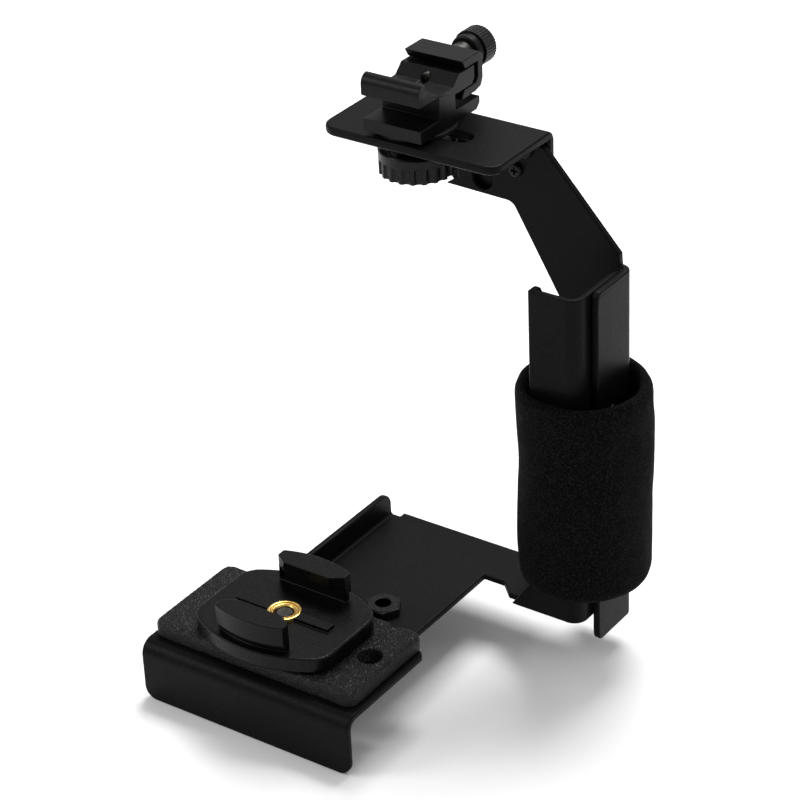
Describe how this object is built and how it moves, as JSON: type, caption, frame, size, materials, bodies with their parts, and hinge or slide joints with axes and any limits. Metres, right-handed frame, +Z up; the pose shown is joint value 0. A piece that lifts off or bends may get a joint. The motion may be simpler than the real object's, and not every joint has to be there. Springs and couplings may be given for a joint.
{
  "type": "camera hand bracket",
  "caption": "Black sheet-metal camera bracket: padded tray with a turning buckle mount, foam grip, sloping arm and top platform with a clamping shoe.",
  "frame": {"origin": "axis of the tripod thread at the underside of the base sheet", "axes": "+X from the tray towards the grip, +Y from the front skirt to the rear arm, +Z up"},
  "size_m": [0.1299, 0.1323, 0.1969],
  "materials": {
    "sheet_black": "fine satin powder coat, black",
    "screw_black": "black oxide, slightly oily",
    "rivet_steel": "plain steel",
    "foam_black": "closed-cell foam, matt, fine cells",
    "nut_black": "black plated",
    "pad_rubber": "leather-grained rubber",
    "disc_black": "black, satin gloss",
    "insert_brass": "dull brass",
    "screw_steel": "darkened steel",
    "knob_black": "black anodised, knurled",
    "washer_steel": "plain steel",
    "clip_steel": "spring steel",
    "shoe_black": "black anodised, milled",
    "washer_black": "matt black"
  },
  "bodies": {
    "bracket": {"base_bracket": "sheet_black", "grip_channel": "sheet_black", "arm_plate": "sheet_black", "platform_bracket": "sheet_black", "platform_screws": "screw_black", "platform_nuts": "screw_black", "grip_rivets": "rivet_steel", "foam_grip": "foam_black", "tripod_nut": "nut_black", "base_pad": "pad_rubber", "mount_washer": "washer_steel"},
    "mount": {"action_mount": "disc_black", "brass_insert": "insert_brass"},
    "mount_screw": {"mount_screw": "screw_steel", "mount_knob": "knob_black", "mount_clip": "clip_steel"},
    "carriage": {"shoe_washer": "washer_black", "lock_washer": "washer_steel"},
    "shoe": {"shoe_body": "shoe_black", "shoe_stud": "screw_steel"},
    "lock_nut": {"lock_nut": "knob_black"},
    "jaw": {"clamp_jaw": "shoe_black"},
    "clamp_screw": {"thumbscrew": "screw_steel", "knob_collar": "shoe_black", "thumbscrew_knob": "knob_black"}
  },
  "joints": [
    {"name": "mount_turn", "type": "hinge", "parent": "bracket", "child": "mount", "pos_m": [-0.0157, -0.0317, 0.0063], "axis": [0, 0, 1], "continuous": true},
    {"name": "mount_screw_turn", "type": "hinge", "parent": "bracket", "child": "mount_screw", "pos_m": [-0.0157, -0.0317, 0], "axis": [0, 0, 1], "continuous": true},
    {"name": "shoe_slide", "type": "slide", "parent": "bracket", "child": "carriage", "axis": [1, 0, 0], "range_m": [-0.002, 0.017]},
    {"name": "shoe_turn", "type": "hinge", "parent": "carriage", "child": "shoe", "pos_m": [-0.0082, 0.0407, 0.1584], "axis": [0, 0, 1], "continuous": true},
    {"name": "lock_nut_turn", "type": "hinge", "parent": "carriage", "child": "lock_nut", "pos_m": [-0.0082, 0.0407, 0.145], "axis": [0, 0, 1], "continuous": true},
    {"name": "jaw_slide", "type": "slide", "parent": "shoe", "child": "jaw", "axis": [0, -1, 0], "range_m": [-0.003, 0.0018]},
    {"name": "thumbscrew_turn", "type": "hinge", "parent": "jaw", "child": "clamp_screw", "pos_m": [-0.00725, 0.0418, 0.17145], "axis": [0, -1, 0], "range_deg": [-2170, 1300]}
  ],
  "couplings": [
    {"joint": "thumbscrew_turn", "follows": "jaw_slide", "rad_per_m": 12566}
  ]
}
